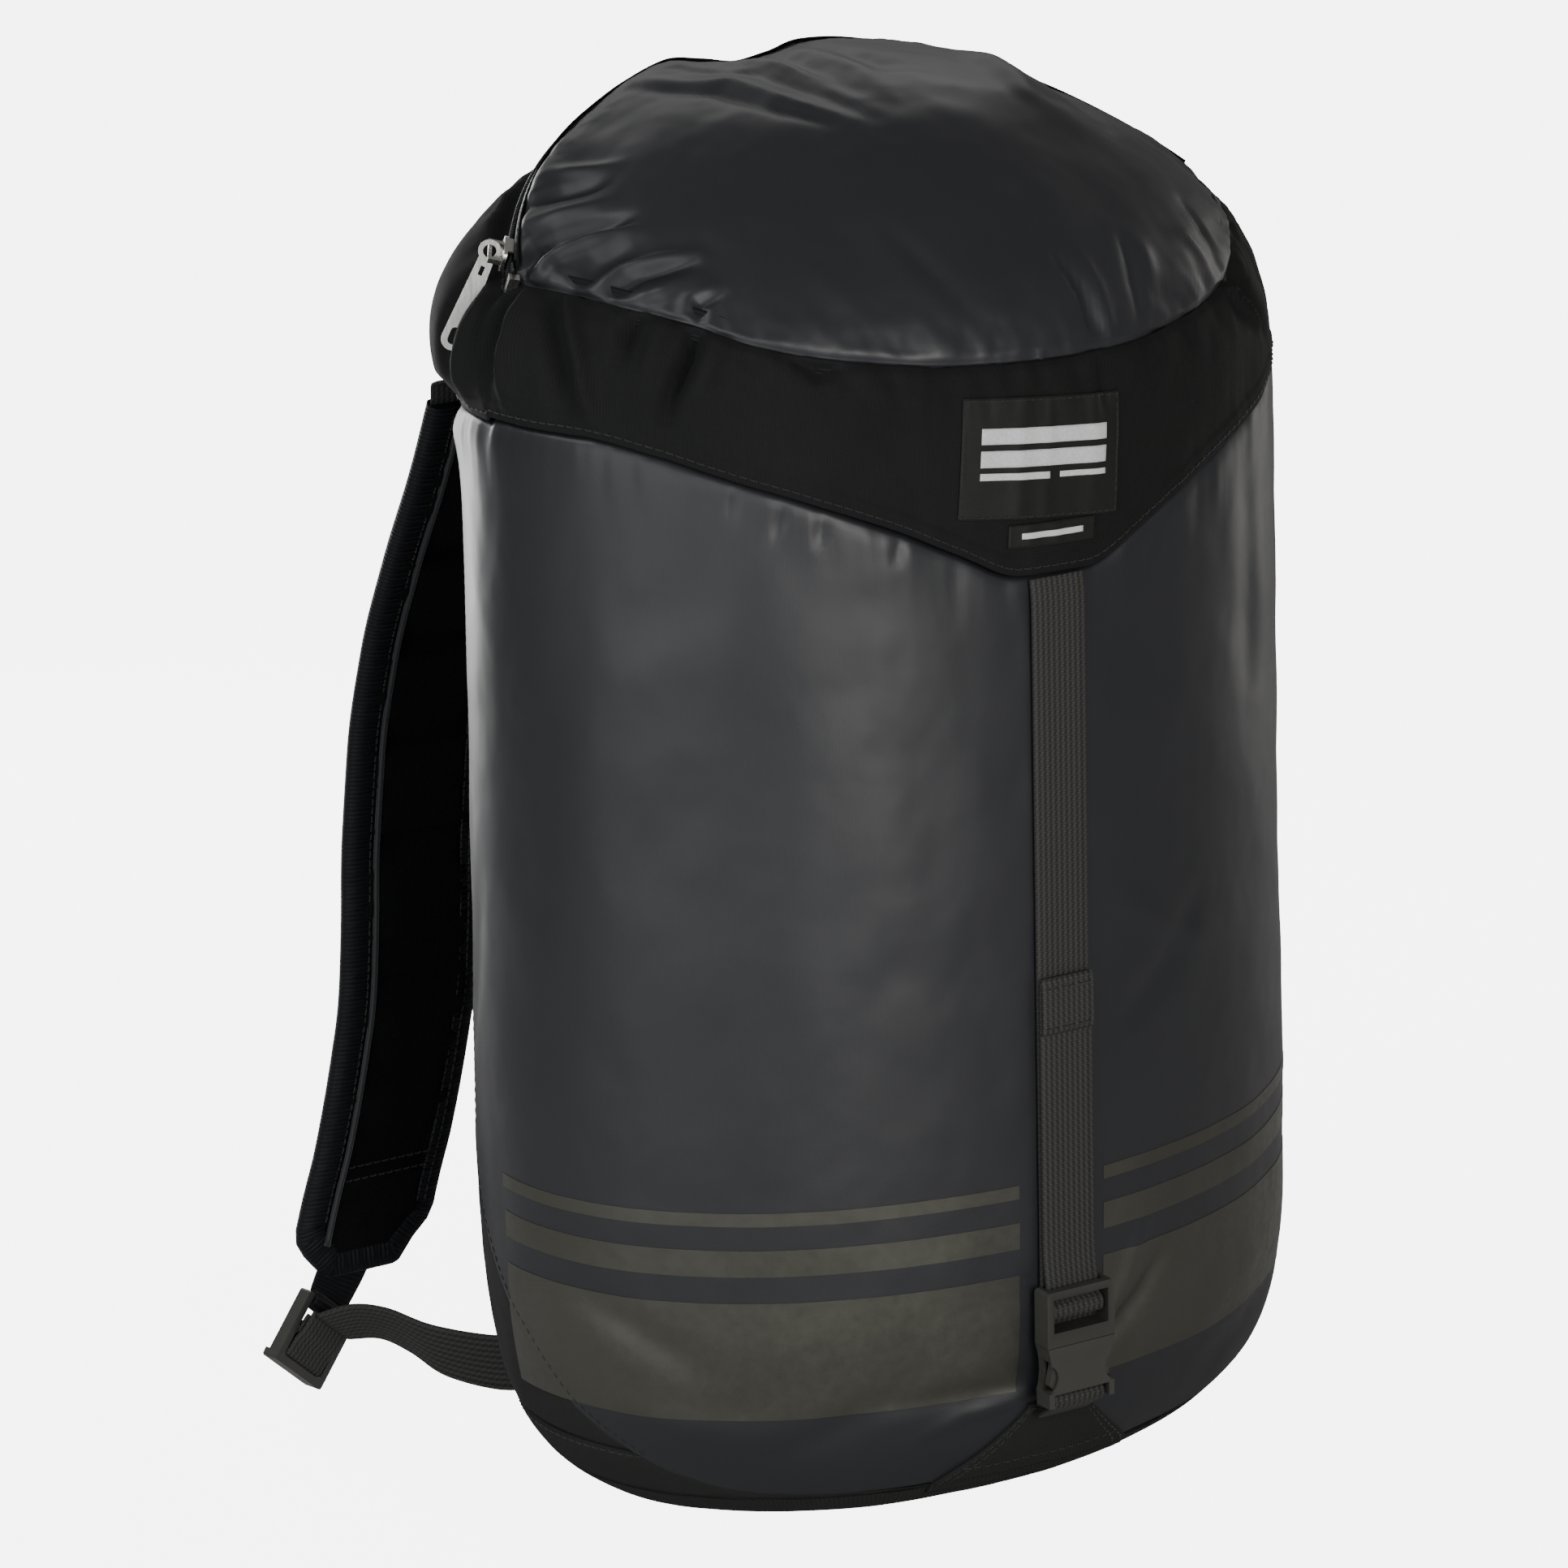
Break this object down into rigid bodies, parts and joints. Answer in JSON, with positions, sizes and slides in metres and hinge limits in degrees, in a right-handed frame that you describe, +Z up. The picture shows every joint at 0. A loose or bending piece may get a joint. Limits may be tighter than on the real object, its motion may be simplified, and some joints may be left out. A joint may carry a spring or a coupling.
{
  "type": "compression sack",
  "caption": "Stuffed compression sack worn as a daypack: zipped dome lid, black yoke, front strap with side-release buckle, padded shoulder straps.",
  "frame": {"origin": "centre of the flat base, on the floor the sack stands on", "axes": "+Z up, -Y the front with the strap and buckle, +Y the back with the shoulder straps, +X the wearer's right-hand side seen from the front"},
  "size_m": [0.3332, 0.2564, 0.4538],
  "materials": {
    "nylon_grey": "satin",
    "nylon_black": "matte",
    "webbing": "matte",
    "padding": "matte",
    "mesh_black": "matte",
    "binding": "matte",
    "plastic_black": "satin",
    "zip_tape": "matte",
    "zip_coil": "satin",
    "zip_metal": "polished",
    "label": "satin"
  },
  "bodies": {
    "sack": {"front_panel": "nylon_grey", "back_panel": "nylon_black", "base_panel": "nylon_black", "yoke": "nylon_black", "lid_front": "nylon_grey", "zip_tape_body": "zip_tape", "zip_coil_body": "zip_coil", "zip_tape_ends": "zip_tape", "zip_coil_ends": "zip_coil", "zip_stops": "zip_metal", "front_strap": "webbing", "buckle_female": "plastic_black", "buckle_loop": "webbing", "base_tab": "nylon_black", "label_patch": "label", "size_tag": "label", "strap_anchor_left": "webbing", "strap_anchor_right": "webbing", "lower_anchor_left": "webbing", "lower_anchor_right": "webbing", "lower_web_left": "webbing", "lower_web_right": "webbing", "haul_anchor_left": "webbing", "haul_anchor_right": "webbing"},
    "lid": {"lid_flap": "nylon_grey", "zip_tape_flap": "zip_tape", "zip_coil_flap": "zip_coil"},
    "slider": {"zip_slider": "zip_metal"},
    "pull": {"zip_pull": "zip_metal"},
    "buckle_plug": {"buckle_male": "plastic_black", "strap_tail": "webbing", "strap_hem": "webbing"},
    "catch_left": {"wing_left": "plastic_black"},
    "catch_right": {"wing_right": "plastic_black"},
    "shoulder_left": {"strap_foam_left": "padding", "strap_cover_left": "mesh_black", "strap_lining_left": "mesh_black", "strap_binding_left": "binding", "strap_stub_left": "webbing"},
    "shoulder_right": {"strap_foam_right": "padding", "strap_cover_right": "mesh_black", "strap_lining_right": "mesh_black", "strap_binding_right": "binding", "strap_stub_right": "webbing"},
    "lock_left": {"ladder_lock_left": "plastic_black", "lock_web_left": "webbing"},
    "lock_right": {"ladder_lock_right": "plastic_black", "lock_web_right": "webbing"},
    "handle": {"haul_loop": "webbing"}
  },
  "joints": [
    {"name": "lid_open", "type": "hinge", "parent": "sack", "child": "lid", "pos_m": [0, -0.0305, 0.447], "axis": [1, 0, 0], "range_deg": [0, 40]},
    {"name": "zip_travel", "type": "hinge", "parent": "sack", "child": "slider", "pos_m": [0, -0.0417, 0.37461], "axis": [0, 0.5217, -0.8531], "range_deg": [0, 120]},
    {"name": "zip_pull_swing", "type": "hinge", "parent": "slider", "child": "pull", "pos_m": [-0.1275, 0.02059, 0.4127], "axis": [0.5089, 0.8541, -0.1078], "range_deg": [0, 70]},
    {"name": "buckle_release", "type": "slide", "parent": "sack", "child": "buckle_plug", "axis": [0, 0, 1], "range_m": [0, 0.022]},
    {"name": "catch_left_squeeze", "type": "hinge", "parent": "buckle_plug", "child": "catch_left", "pos_m": [-0.0075, -0.1103, 0.0642], "axis": [0, -1, 0], "range_deg": [0, 15.5]},
    {"name": "catch_right_squeeze", "type": "hinge", "parent": "buckle_plug", "child": "catch_right", "pos_m": [0.0075, -0.1103, 0.0642], "axis": [0, 1, 0], "range_deg": [0, 15.5]},
    {"name": "strap_swing_left", "type": "hinge", "parent": "sack", "child": "shoulder_left", "pos_m": [-0.081, 0.099, 0.3502], "axis": [1, 0, 0], "range_deg": [0, 20], "deforming": ["lower_web_left"]},
    {"name": "lock_tilt_left", "type": "hinge", "parent": "shoulder_left", "child": "lock_left", "pos_m": [-0.1405, 0.1335, 0.029], "axis": [0.7199, 0.215, -0.6599], "range_deg": [0, 25], "deforming": ["lower_web_left"]},
    {"name": "strap_swing_right", "type": "hinge", "parent": "sack", "child": "shoulder_right", "pos_m": [0.081, 0.099, 0.3502], "axis": [1, 0, 0], "range_deg": [0, 20], "deforming": ["lower_web_right"]},
    {"name": "lock_tilt_right", "type": "hinge", "parent": "shoulder_right", "child": "lock_right", "pos_m": [0.1405, 0.1335, 0.029], "axis": [0.7199, -0.215, 0.6599], "range_deg": [0, 25], "deforming": ["lower_web_right"]},
    {"name": "handle_swing", "type": "hinge", "parent": "sack", "child": "handle", "pos_m": [0, 0.1048, 0.38], "axis": [1, 0, 0], "range_deg": [0, 30]}
  ],
  "couplings": [
    {"joint": "catch_left_squeeze", "follows": "buckle_release", "rad_per_m": 12},
    {"joint": "catch_right_squeeze", "follows": "buckle_release", "rad_per_m": 12}
  ]
}
